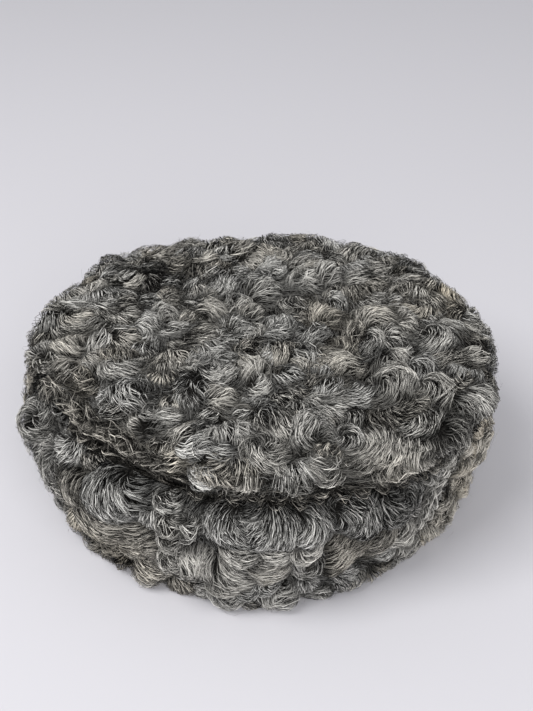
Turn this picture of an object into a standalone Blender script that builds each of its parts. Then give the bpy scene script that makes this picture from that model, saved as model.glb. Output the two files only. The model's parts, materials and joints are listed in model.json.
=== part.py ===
"""Karakul hat: a rolled fur crown sewn to a side band of two pelt pieces, open below for the head.

Run it with blender --background --python part.py. Metres, +Z up, -Y is the front of the hat, and the rim
rests on the floor at z = 0. Bearings are degrees round the hat from the front, growing towards +X.
"""

import math
from collections import namedtuple

import bmesh
import bpy
import numpy as np

# Driving sizes, in metres. The widths are those of an even round hat, before the plan below shapes it
CROWN_WIDTH = 0.222
BAND_WIDTH = 0.226
WAIST_WIDTH = 0.206
RIM_WIDTH = 0.209
BAND_HEIGHT = 0.064
CROWN_RISE = 0.024
PELT_THICKNESS = 0.013
SEAM_GAP = 0.0003

# The two joints of the band, as bearings, and how far the first one leans over the band's height
RIGHT_JOINT = 52.0
LEFT_JOINT = -128.0
RIGHT_JOINT_LEAN = 14.0

# Fur locks
LOCK_PITCH = 0.018
LOCK_RISE = 0.0066
JOINT_DIP = 0.0022
LOCK_SEED = 7

# Facets
CROWN_RINGS = 23
CROWN_EDGE_ROWS = 7
BAND_ROWS = 13
BAND_COLUMNS = 70
LINING_RINGS = 7
LINING_ROWS = 4
LINING_COLUMNS = 24

# How far the soft hat reaches at each bearing, seen from above, as shares of the crown's, band's and rim's
# own radii. The crown is flattened at its left front, and the band at its right front
Plan = namedtuple("Plan", "bearing crown band rim")
PLANS = (
    Plan(bearing=-135, crown=1.05, band=1.01, rim=1.01),
    Plan(bearing=-90, crown=1.03, band=1.05, rim=1.04),
    Plan(bearing=-45, crown=0.91, band=1.02, rim=1.02),
    Plan(bearing=0, crown=0.99, band=1.00, rim=1.01),
    Plan(bearing=45, crown=1.04, band=0.96, rim=0.96),
    Plan(bearing=90, crown=1.01, band=0.99, rim=1.00),
    Plan(bearing=135, crown=1.02, band=1.01, rim=1.01),
    Plan(bearing=180, crown=0.98, band=0.98, rim=0.98),
)

# The band's outline from the rim up: the height is a share of BAND_HEIGHT, and the radius is the sum of
# these shares of the rim's, the full band's and the waist's radii
BandSection = namedtuple("BandSection", "height rim band waist")
BAND_SECTIONS = (
    BandSection(height=0.00, rim=0.955, band=0.00, waist=0.00),
    BandSection(height=0.06, rim=1.000, band=0.00, waist=0.00),
    BandSection(height=0.25, rim=0.720, band=0.28, waist=0.00),
    BandSection(height=0.48, rim=0.300, band=0.70, waist=0.00),
    BandSection(height=0.68, rim=0.020, band=0.98, waist=0.00),
    BandSection(height=0.82, rim=0.000, band=0.96, waist=0.04),
    BandSection(height=0.94, rim=0.000, band=0.60, waist=0.40),
    BandSection(height=1.00, rim=0.000, band=0.00, waist=1.00),
)

# The crown's outline from its centre out to the seam: the height is a share of CROWN_RISE above the seam,
# and the radius is the sum of these shares of the full crown's and the waist's radii
CrownSection = namedtuple("CrownSection", "height crown waist")
CROWN_SECTIONS = (
    CrownSection(height=1.00, crown=0.00, waist=0.00),
    CrownSection(height=0.99, crown=0.25, waist=0.00),
    CrownSection(height=0.96, crown=0.50, waist=0.00),
    CrownSection(height=0.88, crown=0.76, waist=0.00),
    CrownSection(height=0.75, crown=0.91, waist=0.00),
    CrownSection(height=0.54, crown=0.99, waist=0.00),
    CrownSection(height=0.31, crown=0.99, waist=0.00),
    CrownSection(height=0.11, crown=0.82, waist=0.18),
    CrownSection(height=0.00, crown=0.00, waist=1.00),
)

# The largest locks, chosen by hand. The level is the share of the way along the outline, from the crown's
# centre to the seam or from the rim to the seam, the size a share of LOCK_PITCH, and the rise of LOCK_RISE
MainLock = namedtuple("MainLock", "bearing level size rise")
CROWN_LOCKS = (
    MainLock(bearing=31.0, level=0.68, size=2.2, rise=1.4),
    MainLock(bearing=56.0, level=0.84, size=1.6, rise=1.3),
    MainLock(bearing=5.0, level=0.76, size=1.4, rise=1.2),
    MainLock(bearing=-21.0, level=0.86, size=1.2, rise=1.2),
    MainLock(bearing=-32.0, level=0.66, size=1.5, rise=1.3),
    MainLock(bearing=-42.0, level=0.84, size=1.3, rise=1.2),
    MainLock(bearing=-59.0, level=0.83, size=1.3, rise=1.2),
    MainLock(bearing=-90.0, level=0.72, size=1.5, rise=1.2),
    MainLock(bearing=100.0, level=0.66, size=1.6, rise=1.2),
    MainLock(bearing=150.0, level=0.62, size=1.5, rise=1.3),
    MainLock(bearing=-140.0, level=0.72, size=1.6, rise=1.3),
)
BAND_LOCKS = (
    MainLock(bearing=-72.0, level=0.70, size=1.7, rise=1.4),
    MainLock(bearing=-44.0, level=0.58, size=2.0, rise=1.1),
    MainLock(bearing=-20.0, level=0.70, size=1.2, rise=1.2),
    MainLock(bearing=-22.0, level=0.42, size=1.2, rise=1.2),
    MainLock(bearing=2.0, level=0.68, size=2.1, rise=1.4),
    MainLock(bearing=-7.0, level=0.28, size=1.8, rise=1.2),
    MainLock(bearing=12.0, level=0.34, size=1.3, rise=1.2),
    MainLock(bearing=28.0, level=0.66, size=1.7, rise=1.3),
    MainLock(bearing=74.0, level=0.60, size=1.8, rise=1.4),
    MainLock(bearing=140.0, level=0.58, size=1.8, rise=1.3),
    MainLock(bearing=-155.0, level=0.62, size=1.8, rise=1.3),
)

Lock = namedtuple("Lock", "east north size rise")


def clear_scene():
    for obj in list(bpy.data.objects):
        bpy.data.objects.remove(obj)


def make_material(name, colour, roughness):
    material = bpy.data.materials.new(name)
    material.use_nodes = True
    shader = material.node_tree.nodes["Principled BSDF"]
    shader.inputs["Base Color"].default_value = (*colour, 1.0)
    shader.inputs["Roughness"].default_value = roughness
    shader.inputs["Metallic"].default_value = 0.0
    return material


def smooth_curve(points, steps_between=12):
    """A smooth curve through rows of numbers, as many short steps."""
    points = np.array(points, float)
    padded = np.vstack([2 * points[0] - points[1], points, 2 * points[-1] - points[-2]])
    curve = []
    for before, start, end, after in zip(padded, padded[1:], padded[2:], padded[3:]):
        for step in range(steps_between):
            t = step / steps_between
            curve.append(
                0.5
                * (
                    2 * start
                    + (end - before) * t
                    + (2 * before - 5 * start + 4 * end - after) * t**2
                    + (3 * start - before - 3 * end + after) * t**3
                )
            )
    curve.append(points[-1])
    return np.array(curve)


def reach(bearing):
    """The shares by which the plan stretches the crown, the band, the rim and the waist at a bearing."""
    bearing = (bearing - PLANS[0].bearing) % 360.0
    spacing = 360.0 / len(PLANS)
    before = PLANS[int(bearing // spacing) % len(PLANS)]
    after = PLANS[int(bearing // spacing + 1) % len(PLANS)]
    ease = 0.5 - 0.5 * math.cos(math.pi * (bearing % spacing) / spacing)
    crown, band, rim = (start + (end - start) * ease for start, end in zip(before[1:], after[1:]))
    return {"crown": crown, "band": band, "rim": rim, "waist": (crown + band) / 2}


class Outline:
    """The curve that a pelt's outer face follows, measured by its length, from its table's first row to its last.

    Each row gives a height and the shares of the named radii that its own radius is made of.
    """

    def __init__(self, rows, height, radii):
        self.names = list(radii)
        self.radii = np.array([radii[name] for name in self.names])
        self.rows = smooth_curve([(row[0] * height, *row[1:]) for row in rows])
        even = np.column_stack([self.rows[:, 1:] @ self.radii, self.rows[:, 0]])
        steps = np.hypot(*np.diff(even, axis=0).T)
        self.distance = np.concatenate([[0.0], np.cumsum(steps)])
        self.length = self.distance[-1]
        run, climb = np.gradient(even[:, 0]), np.gradient(even[:, 1])
        self.normals = np.column_stack([climb, -run]) / np.hypot(run, climb)[:, None]

    def place(self, bearing, level, relief=0.0):
        """A point at a bearing and a share of the curve's length, moved out from it by the relief."""
        distance = level * self.length
        height, *shares = (np.interp(distance, self.distance, column) for column in self.rows.T)
        out, up = (np.interp(distance, self.distance, column) for column in self.normals.T)
        stretch = reach(bearing)
        radius = sum(
            share * size * stretch[name] for share, size, name in zip(shares, self.radii, self.names)
        )
        return round_point(bearing, radius + relief * out, height + relief * up)


def round_point(bearing, radius, height):
    angle = math.radians(bearing)
    return radius * math.sin(angle), -radius * math.cos(angle), height


def band_outline():
    radii = {"rim": RIM_WIDTH / 2, "band": BAND_WIDTH / 2, "waist": WAIST_WIDTH / 2}
    return Outline(BAND_SECTIONS, BAND_HEIGHT, radii)


def crown_outline():
    radii = {"crown": CROWN_WIDTH / 2, "waist": WAIST_WIDTH / 2}
    return Outline(CROWN_SECTIONS, CROWN_RISE, radii)


def flat_place(bearing, distance):
    """Where a point of the crown lies when its pelt is laid out flat."""
    angle = math.radians(bearing)
    return distance * math.sin(angle), -distance * math.cos(angle)


def free_of(locks, east, north):
    return all(
        math.hypot(lock.east - east, lock.north - north) > 0.62 * lock.size + 0.3 * LOCK_PITCH
        for lock in locks
    )


def crown_locks(outline):
    """Locks over the crown's flat pelt: the largest ones, and a sunflower pattern of the rest."""
    main = [
        Lock(
            *flat_place(row.bearing, row.level * outline.length),
            row.size * LOCK_PITCH,
            row.rise * LOCK_RISE,
        )
        for row in CROWN_LOCKS
    ]
    chance = np.random.default_rng(LOCK_SEED)
    golden_angle = 180.0 * (3.0 - math.sqrt(5.0))
    count = int(math.pi * (outline.length / LOCK_PITCH) ** 2)
    locks = list(main)
    for number in range(count):
        distance = outline.length * math.sqrt((number + 0.5) / count)
        east, north = flat_place(number * golden_angle, distance)
        east += chance.uniform(-0.2, 0.2) * LOCK_PITCH
        north += chance.uniform(-0.2, 0.2) * LOCK_PITCH
        size = chance.uniform(0.9, 1.25) * LOCK_PITCH
        rise = chance.uniform(0.65, 1.1) * LOCK_RISE
        if free_of(main, east, north):
            locks.append(Lock(east, north, size, rise))
    return locks


def band_locks(outline):
    """Locks over the band's flat strip: the largest ones, and staggered rows of the rest."""
    round_band = math.pi * BAND_WIDTH
    main = [
        Lock(
            row.bearing / 360.0 * round_band,
            row.level * outline.length,
            row.size * LOCK_PITCH,
            row.rise * LOCK_RISE,
        )
        for row in BAND_LOCKS
    ]
    chance = np.random.default_rng(LOCK_SEED + 1)
    rows = max(2, round(outline.length / LOCK_PITCH))
    columns = round(round_band / LOCK_PITCH)
    locks = list(main)
    for row in range(rows):
        for column in range(columns):
            east = ((column + 0.5 * (row % 2)) / columns - 0.5) * round_band
            north = (row + 0.5) / rows * outline.length
            east += chance.uniform(-0.25, 0.25) * LOCK_PITCH
            north += chance.uniform(-0.25, 0.25) * LOCK_PITCH
            size = chance.uniform(0.9, 1.3) * LOCK_PITCH
            rise = chance.uniform(0.65, 1.1) * LOCK_RISE
            if free_of(main, east, north):
                locks.append(Lock(east, north, size, rise))
    turned = [lock._replace(east=lock.east + turn * round_band) for lock in locks for turn in (-1, 1)]
    return locks + turned


def lock_relief(locks, east, north):
    """How far the fur stands out at one place: the mounds there, and a dimple at a large lock's eye."""
    table = np.array(locks)
    away = np.hypot(table[:, 0] - east, table[:, 1] - north) / (0.67 * table[:, 2])
    mound = table[:, 3] * np.clip(1.0 - away**2, 0.0, None)
    eye = 0.5 * table[:, 3] * np.exp(-((away / 0.28) ** 2)) * (table[:, 2] > 1.25 * LOCK_PITCH)
    return float(((mound - eye).clip(0.0) ** 6).sum() ** (1 / 6)) - 0.6 * LOCK_RISE


def fade(distance, over):
    """0 at an edge and 1 from the given distance on, without a corner."""
    share = min(max(distance / over, 0.0), 1.0)
    return share * share * (3.0 - 2.0 * share)


def join_chains(bm, first, second, closed):
    """Triangles between two chains of vertices that may differ in number."""
    i = j = 0
    ends = (len(first), len(second)) if closed else (len(first) - 1, len(second) - 1)
    while i < ends[0] or j < ends[1]:
        a, b = first[i % len(first)], second[j % len(second)]
        step_first = j >= ends[1] or (i < ends[0] and (i + 1) / max(ends[0], 1) <= (j + 1) / ends[1])
        if step_first:
            i += 1
            bm.faces.new((a, first[i % len(first)], b))
        else:
            j += 1
            bm.faces.new((a, second[j % len(second)], b))


def dome_rings(bm, rings, edge_rows, point_at):
    """Vertices of a dome: one at the centre, six more in each ring, then rows as long as the last ring."""
    centre = bm.verts.new(point_at(0.0, 0.0))
    made = []
    for ring in range(1, rings + edge_rows + 1):
        count = 6 * min(ring, rings)
        level = ring / (rings + edge_rows)
        made.append([bm.verts.new(point_at(360.0 * i / count, level)) for i in range(count)])
    for i, vertex in enumerate(made[0]):
        bm.faces.new((centre, vertex, made[0][(i + 1) % len(made[0])]))
    for inner, outer in zip(made, made[1:]):
        join_chains(bm, inner, outer, closed=True)
    return made


def finish_object(bm, name, material):
    bmesh.ops.recalc_face_normals(bm, faces=bm.faces)
    mesh = bpy.data.meshes.new(name)
    bm.to_mesh(mesh)
    bm.free()
    mesh.materials.append(material)
    obj = bpy.data.objects.new(name, mesh)
    bpy.context.scene.collection.objects.link(obj)
    return obj


def hollow_radius(bearing, outer_radius, name):
    """The hide's radius at a bearing, a pelt's thickness inside the fur's."""
    return outer_radius * reach(bearing)[name] - PELT_THICKNESS


def make_crown(material):
    outline = crown_outline()
    locks = crown_locks(outline)
    base = BAND_HEIGHT + SEAM_GAP

    def fur_point(bearing, level):
        distance = level * outline.length
        relief = lock_relief(locks, *flat_place(bearing, distance))
        relief *= fade(outline.length - distance, 1.2 * LOCK_PITCH)
        x, y, height = outline.place(bearing, level, relief)
        return x, y, base + height

    def hide_point(bearing, level):
        radius = level * hollow_radius(bearing, WAIST_WIDTH / 2, "waist")
        height = (CROWN_RISE - PELT_THICKNESS) * (1.0 - level**4) ** 0.5
        return round_point(bearing, radius, base + height)

    bm = bmesh.new()
    fur = dome_rings(bm, CROWN_RINGS, CROWN_EDGE_ROWS, fur_point)
    hide = dome_rings(bm, LINING_RINGS, 0, hide_point)
    join_chains(bm, hide[-1], fur[-1], closed=True)
    return finish_object(bm, "crown_pelt", material)


def joint_bearing(joint, share):
    """Where a joint of the band is at a share of its height: the right one leans."""
    lean = RIGHT_JOINT_LEAN if joint == RIGHT_JOINT else 0.0
    return joint + lean * (share - 0.5)


def make_band(name, start_joint, end_joint, material):
    """One pelt of the band, from one joint round to the next, each end set back by half the seam gap."""
    outline = band_outline()
    locks = band_locks(outline)
    round_band = math.pi * BAND_WIDTH
    turns = 360.0 if end_joint < start_joint else 0.0
    set_back = math.degrees(SEAM_GAP / 2 / (RIM_WIDTH / 2 - PELT_THICKNESS))

    def bearing_at(along, share):
        start = joint_bearing(start_joint, share) + set_back
        end = joint_bearing(end_joint, share) + turns - set_back
        return start + (end - start) * along, min(along, 1.0 - along) * (end - start)

    def fur_point(along, level):
        distance = level * outline.length
        height = np.interp(distance, outline.distance, outline.rows[:, 0])
        bearing, from_joint = bearing_at(along, height / BAND_HEIGHT)
        from_joint = from_joint / 360.0 * round_band
        wrapped = (bearing + 180.0) % 360.0 - 180.0
        relief = lock_relief(locks, wrapped / 360.0 * round_band, distance)
        near_joint = fade(from_joint, 0.7 * LOCK_PITCH)
        relief = relief * near_joint - JOINT_DIP * (1.0 - near_joint)
        relief *= fade(min(distance, outline.length - distance), 0.5 * LOCK_PITCH)
        return outline.place(bearing, level, relief)

    def hide_point(along, share):
        bearing, _ = bearing_at(along, share)
        foot = hollow_radius(bearing, RIM_WIDTH / 2, "rim")
        swell = hollow_radius(bearing, BAND_WIDTH / 2, "band")
        top = hollow_radius(bearing, WAIST_WIDTH / 2, "waist")
        radius = np.interp(share, (0.0, 0.25, 0.75, 1.0), (foot, (foot + swell) / 2, swell, top))
        return round_point(bearing, radius, share * BAND_HEIGHT)

    bm = bmesh.new()
    fur = [
        [bm.verts.new(fur_point(i / BAND_COLUMNS, row / BAND_ROWS)) for i in range(BAND_COLUMNS + 1)]
        for row in range(BAND_ROWS + 1)
    ]
    hide = [
        [
            bm.verts.new(hide_point(i / LINING_COLUMNS, row / LINING_ROWS))
            for i in range(LINING_COLUMNS + 1)
        ]
        for row in range(LINING_ROWS + 1)
    ]
    for grid in (fur, hide):
        for lower, upper in zip(grid, grid[1:]):
            join_chains(bm, lower, upper, closed=False)
    join_chains(bm, fur[0], hide[0], closed=False)
    join_chains(bm, fur[-1], hide[-1], closed=False)
    for end in (0, -1):
        join_chains(bm, [row[end] for row in fur], [row[end] for row in hide], closed=False)
    return finish_object(bm, name, material)


def centre_over_origin(objects):
    """Moves the whole hat sideways, so that the middle of its outline is over the origin."""
    points = np.array([vertex.co[:2] for obj in objects for vertex in obj.data.vertices])
    middle = (points.min(axis=0) + points.max(axis=0)) / 2
    for obj in objects:
        obj.location = (-middle[0], -middle[1], 0.0)


def main():
    clear_scene()
    grey_fur = make_material("grey karakul fur", (0.125, 0.120, 0.110), 0.85)
    pale_fur = make_material("pale grey karakul fur", (0.210, 0.200, 0.180), 0.85)
    crown = make_crown(grey_fur)
    front = make_band("band_front", LEFT_JOINT, RIGHT_JOINT, grey_fur)
    back = make_band("band_back", RIGHT_JOINT, LEFT_JOINT, pale_fur)
    centre_over_origin((crown, front, back))


main()
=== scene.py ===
"""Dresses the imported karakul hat: an undercoat and a hide on each pelt, and curled hair grown over them.

The hair is combed on flat layouts of the pelts, as seen from outside: the crown's layout is its top view with
the rolled edge laid flat, and the band's is its strip unrolled from the front. Headings are degrees on those
layouts, 0 to the right and 90 up, and bearings are degrees round the hat from the front towards +X.
"""

import json
import math
from collections import namedtuple

import bpy
import numpy as np
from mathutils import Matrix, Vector
from mathutils.bvhtree import BVHTree

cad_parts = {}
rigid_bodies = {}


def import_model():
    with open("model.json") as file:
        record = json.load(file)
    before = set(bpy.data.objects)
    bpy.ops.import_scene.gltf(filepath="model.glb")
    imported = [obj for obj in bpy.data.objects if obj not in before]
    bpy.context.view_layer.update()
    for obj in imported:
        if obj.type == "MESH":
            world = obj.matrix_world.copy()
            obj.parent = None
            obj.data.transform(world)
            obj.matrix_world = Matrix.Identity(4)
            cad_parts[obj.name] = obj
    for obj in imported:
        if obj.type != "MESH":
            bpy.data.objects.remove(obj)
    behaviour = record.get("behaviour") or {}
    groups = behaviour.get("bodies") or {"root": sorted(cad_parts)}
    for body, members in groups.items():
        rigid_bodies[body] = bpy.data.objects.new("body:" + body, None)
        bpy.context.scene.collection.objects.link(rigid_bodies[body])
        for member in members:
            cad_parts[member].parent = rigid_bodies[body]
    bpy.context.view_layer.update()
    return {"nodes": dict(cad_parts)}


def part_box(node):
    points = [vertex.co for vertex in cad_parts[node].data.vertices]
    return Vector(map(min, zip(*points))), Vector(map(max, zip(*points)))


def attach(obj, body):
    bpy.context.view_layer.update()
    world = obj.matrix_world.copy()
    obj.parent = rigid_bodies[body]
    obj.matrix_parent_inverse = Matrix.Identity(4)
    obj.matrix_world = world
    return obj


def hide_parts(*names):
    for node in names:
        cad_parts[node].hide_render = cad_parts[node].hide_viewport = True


# The photo's frame and the point aimed at, in pixels, and the camera's place
PHOTO_WIDTH = 533
PHOTO_HEIGHT = 711
VIEW_FOCAL = 1168
TARGET_PIXEL = (256, 393)
VIEW_TARGET_HEIGHT = 0.047
VIEW_DISTANCE = 0.58
VIEW_ELEVATION = 35.2

# How many hairs each pelt grows
CROWN_HAIRS = 54000
FRONT_HAIRS = 33500
BACK_HAIRS = 24300
MOST_HAIRS_A_PIECE = 24400
HAIR_SEED = 11

# The pelt of the band's back is paler than the rest
BACK_TONE = 0.4
BACK_WARMTH = 0.45

# The pile, in metres: the pitch that sizes are shares of, its depth, and how it fades towards a seam
LOCK_PITCH = 0.0125
PILE_DEPTH = 0.0045
SEAM_FADE = 0.009
SEAM_PILE = 0.35
TRIM_FADE = 0.03
SEAM_TRIM = 0.65
FLOOR_CLEARANCE = 0.0004

# A lock's rounded form. Its reach and rise are shares of its size, and its lip is tilted up. Runs have a rise
# of their own, and the skin below rises too
LOBE_REACH = 0.6
LOBE_TILT = 0.8
LOBE_RISE = 0.25
MOST_LOBE_RISE = 0.0036
RUN_RISE = 0.004
FREE_RISE = 0.17
SKIN_LOBE_RISE = 0.0018
SKIN_LOBE_LEVEL = 0.6

# The free locks, between the listed ones. Warmth has a mean and a spread
FREE_PITCH = 0.0116
FREE_JOG = 0.3
FREE_SIZES = (0.7, 1.45)
FREE_HEADING = -80.0
FREE_TURNS = (-45.0, 45.0)
FREE_EYES = (0.35, 0.6, 0.8, 1.0, 1.3)
FREE_SWIRLS = (0.15, 0.35, 0.6, 0.8, 0.92)
FREE_TONE_SPREAD = 0.17
FREE_TONES = (-0.34, 0.27)
FREE_WARMTHS = (0.16, 0.22)
FREE_BREADTHS = (1.0, 1.5)
LOCK_ROOM = 0.42
PLACES_AT_A_TIME = 4000

# Hairs, in metres. A length is a share of the lock's size, kept between limits and shorter near a lock's eye.
# Turns and bends are in radians over a hair
HAIR_WIDTH = 0.0003
HAIR_STEPS = 5
HAIR_SHARE = 0.5
HAIR_SHARE_SPREAD = 0.35
LEAST_HAIR = 0.006
MOST_HAIR = 0.0145
LEAST_EYE_HAIR = 0.0035
EYE_SHARE = 0.1
MOST_TURN = 2.3
MOST_BEND = 1.75
CURL_BIAS = 3.1
WAVE_TURN = 4.0
WAVE_WIDTH = 0.00014
LEAST_LAYER = 0.0009
LAYER_SPREAD = 0.0014
WEAVE_TURN = 5.0
WEAVE_HEIGHT = 0.00015
CLIMB_SHARE = 0.35
TIP_DROP = 0.35
TIP_DROP_POWER = 5.0
TIP_TAPER = 0.85
MAP_ROOM = 1.05

# Wisps draw the hairs round them together, and a few stray hairs stand away, longer and thinner
WISP_SPACING = 0.0016
MOST_WISPS_PER_AREA = 400000.0
WISP_SEED_STEP = 5.0
WISP_PULL = 0.35
WISP_PULL_POWER = 0.8
STRAY_SHARE = 0.007
STRAY_LIFT = 0.005
STRAY_THINNING = 0.6
STRAY_SEED = 27

# What each wisp and each hair draws by chance
Chance = namedtuple("Chance", "name low high seed")
WISP_CHANCES = (
    Chance("wisp_chance", 0.0, 1.0, seed=21),
    Chance("wisp_bend", 0.8, 1.25, seed=22),
    Chance("wave", 0.0, 6.28, seed=29),
)
HAIR_CHANCES = (
    Chance("hair_chance", 0.0, 1.0, seed=23),
    Chance("hair_roll", -0.9, 0.9, seed=24),
    Chance("hair_slant", -0.12, 0.12, seed=25),
    Chance("hair_girth", 0.6, 1.5, seed=26),
    Chance("hair_layer", 0.0, 1.0, seed=28),
    Chance("weave", 0.0, 6.28, seed=30),
)

# Colours: how much chance and streaking with painted glints mix them, the greys dark to white, and a warm
# tint
HAIR_MIX = 0.65
WISP_MIX = 0.45
STREAK_AND_GLINT_MIX = 2.8
STREAK_AND_GLINT_MIDDLE = 1.36
STREAKS_ACROSS = 1.2
STREAKS_AND_GLINTS_ALONG = 4.0
STREAK_STRIDE = 7.3
HAIR_GREYS = ((0.0, 0.002), (0.35, 0.007), (0.52, 0.18), (0.68, 0.54), (1.0, 0.92))
HAIR_CAST = (1.0, 0.985, 0.935)
WARM_TINT = (0.97, 0.88, 0.74, 1.0)

# A hair is darker towards its root, and painted shade darkens hairs low down between the locks
ROOT_LIGHT = 0.15
ROOT_LIGHT_POWER = 0.55
PAINTED_LIGHT_LOW = 0.26
PAINTED_LIGHT_LOFT = 0.95

# The locks that show best. The level is the share of the way from the crown's centre to the
# seam, or from the rim to the seam, and the size is a share of LOCK_PITCH. The heading is the way that the
# lock's lip faces, and its eye is set back from its middle by a share of the size. The hair circles the eye
# at a swirl of 1 (or -1, clockwise) and runs away from it at 0. Tone and warmth shift its colour
Curl = namedtuple("Curl", "bearing level size heading eye swirl tone warmth", defaults=(0.0, 0.0))
CROWN_LOCKS = (
    # The big swirl at the right front
    Curl(32, 0.77, 2.5, -25, 0.6, swirl=-0.97, tone=0.04, warmth=0.25),
    Curl(16, 0.68, 1.5, 120, 0.35, swirl=-0.95, warmth=0.1),
    Curl(18, 0.75, 0.8, -100, 0.6, swirl=-0.3, tone=0.3, warmth=0.5),
    Curl(25, 0.67, 1.1, 0, 0.2, swirl=-0.75, tone=0.05, warmth=0.1),
    Curl(16, 0.84, 1.3, -90, 0.35, swirl=-0.9, tone=0.05, warmth=0.2),
    # The middle of the front edge
    Curl(2, 0.75, 1.5, -90, 0.15, swirl=0.9, warmth=0.2),
    Curl(-8, 0.63, 1.3, -80, 0.9, swirl=0.12, tone=0.1, warmth=0.1),
    Curl(-17, 0.51, 1.1, 20, 0.9, swirl=0.1, tone=0.25, warmth=0.3),
    Curl(-1, 0.4, 0.9, -45, 0.2, swirl=0.9, tone=0.25, warmth=0.1),
    Curl(-12, 0.76, 1.2, -110, 0.35, swirl=0.9, tone=-0.05),
    # The left front edge
    Curl(-33, 0.69, 1.5, -60, 0.3, swirl=0.95, warmth=0.1),
    Curl(-34, 0.62, 0.7, -80, 0.5, swirl=0.1, tone=0.35, warmth=0.4),
    Curl(-46, 0.68, 1.4, -150, 0.3, swirl=0.9, tone=-0.1),
    Curl(-23, 0.89, 0.8, -20, 0.8, swirl=0.3, tone=0.4, warmth=0.6),
    Curl(-63, 0.62, 1.4, -130, 0.3, swirl=0.9, tone=0.1, warmth=0.1),
    Curl(-84, 0.69, 1.4, -170, 0.45, swirl=-0.9, tone=0.05, warmth=0.2),
    # The top
    Curl(-26, 0.37, 1.2, -40, 0.3, swirl=0.95, tone=0.05, warmth=0.1),
    Curl(-121, 0.22, 1.2, 10, 1.0, swirl=-0.35, tone=0.08, warmth=0.2),
    Curl(-102, 0.36, 1.2, 90, 0.45, swirl=-0.85, tone=0.05, warmth=0.1),
    Curl(180, 0.39, 1.2, -90, 0.2, swirl=-0.9, tone=-0.1),
    Curl(175, 0.3, 1.2, 55, 1.0, swirl=-0.4, tone=0.1, warmth=0.1),
    Curl(153, 0.38, 1.2, 60, 1.0, swirl=-0.4, tone=0.14, warmth=0.1),
    Curl(144, 0.47, 1.1, 75, 0.9, swirl=-0.4, tone=0.1, warmth=0.1),
    Curl(139, 0.21, 1.1, -120, 0.2, swirl=0.8, tone=-0.2, warmth=0.2),
    Curl(120, 0.09, 0.9, -90, 0.6, swirl=0.1, tone=0.2),
    Curl(74, 0.2, 1.3, -60, 0.3, swirl=-0.9),
    Curl(98, 0.43, 1.3, 60, 0.6, swirl=-0.6, tone=0.08, warmth=0.2),
    Curl(51, 0.385, 1.4, -150, 0.8, swirl=-0.3, tone=0.18, warmth=0.4),
    Curl(54, 0.57, 1.6, 0, 0.45, swirl=-0.8, tone=0.05, warmth=0.2),
    Curl(58, 0.7, 1.4, -20, 0.5, swirl=-0.6, tone=0.05, warmth=0.2),
    Curl(84, 0.64, 1.4, -30, 0.4, swirl=-0.8, warmth=0.1),
    # The right edge
    Curl(50, 0.86, 1.4, -25, 1.0, swirl=0.12, warmth=0.2),
    Curl(63, 0.86, 1.5, -15, 1.0, swirl=-0.12, tone=0.05, warmth=0.1),
)
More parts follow.
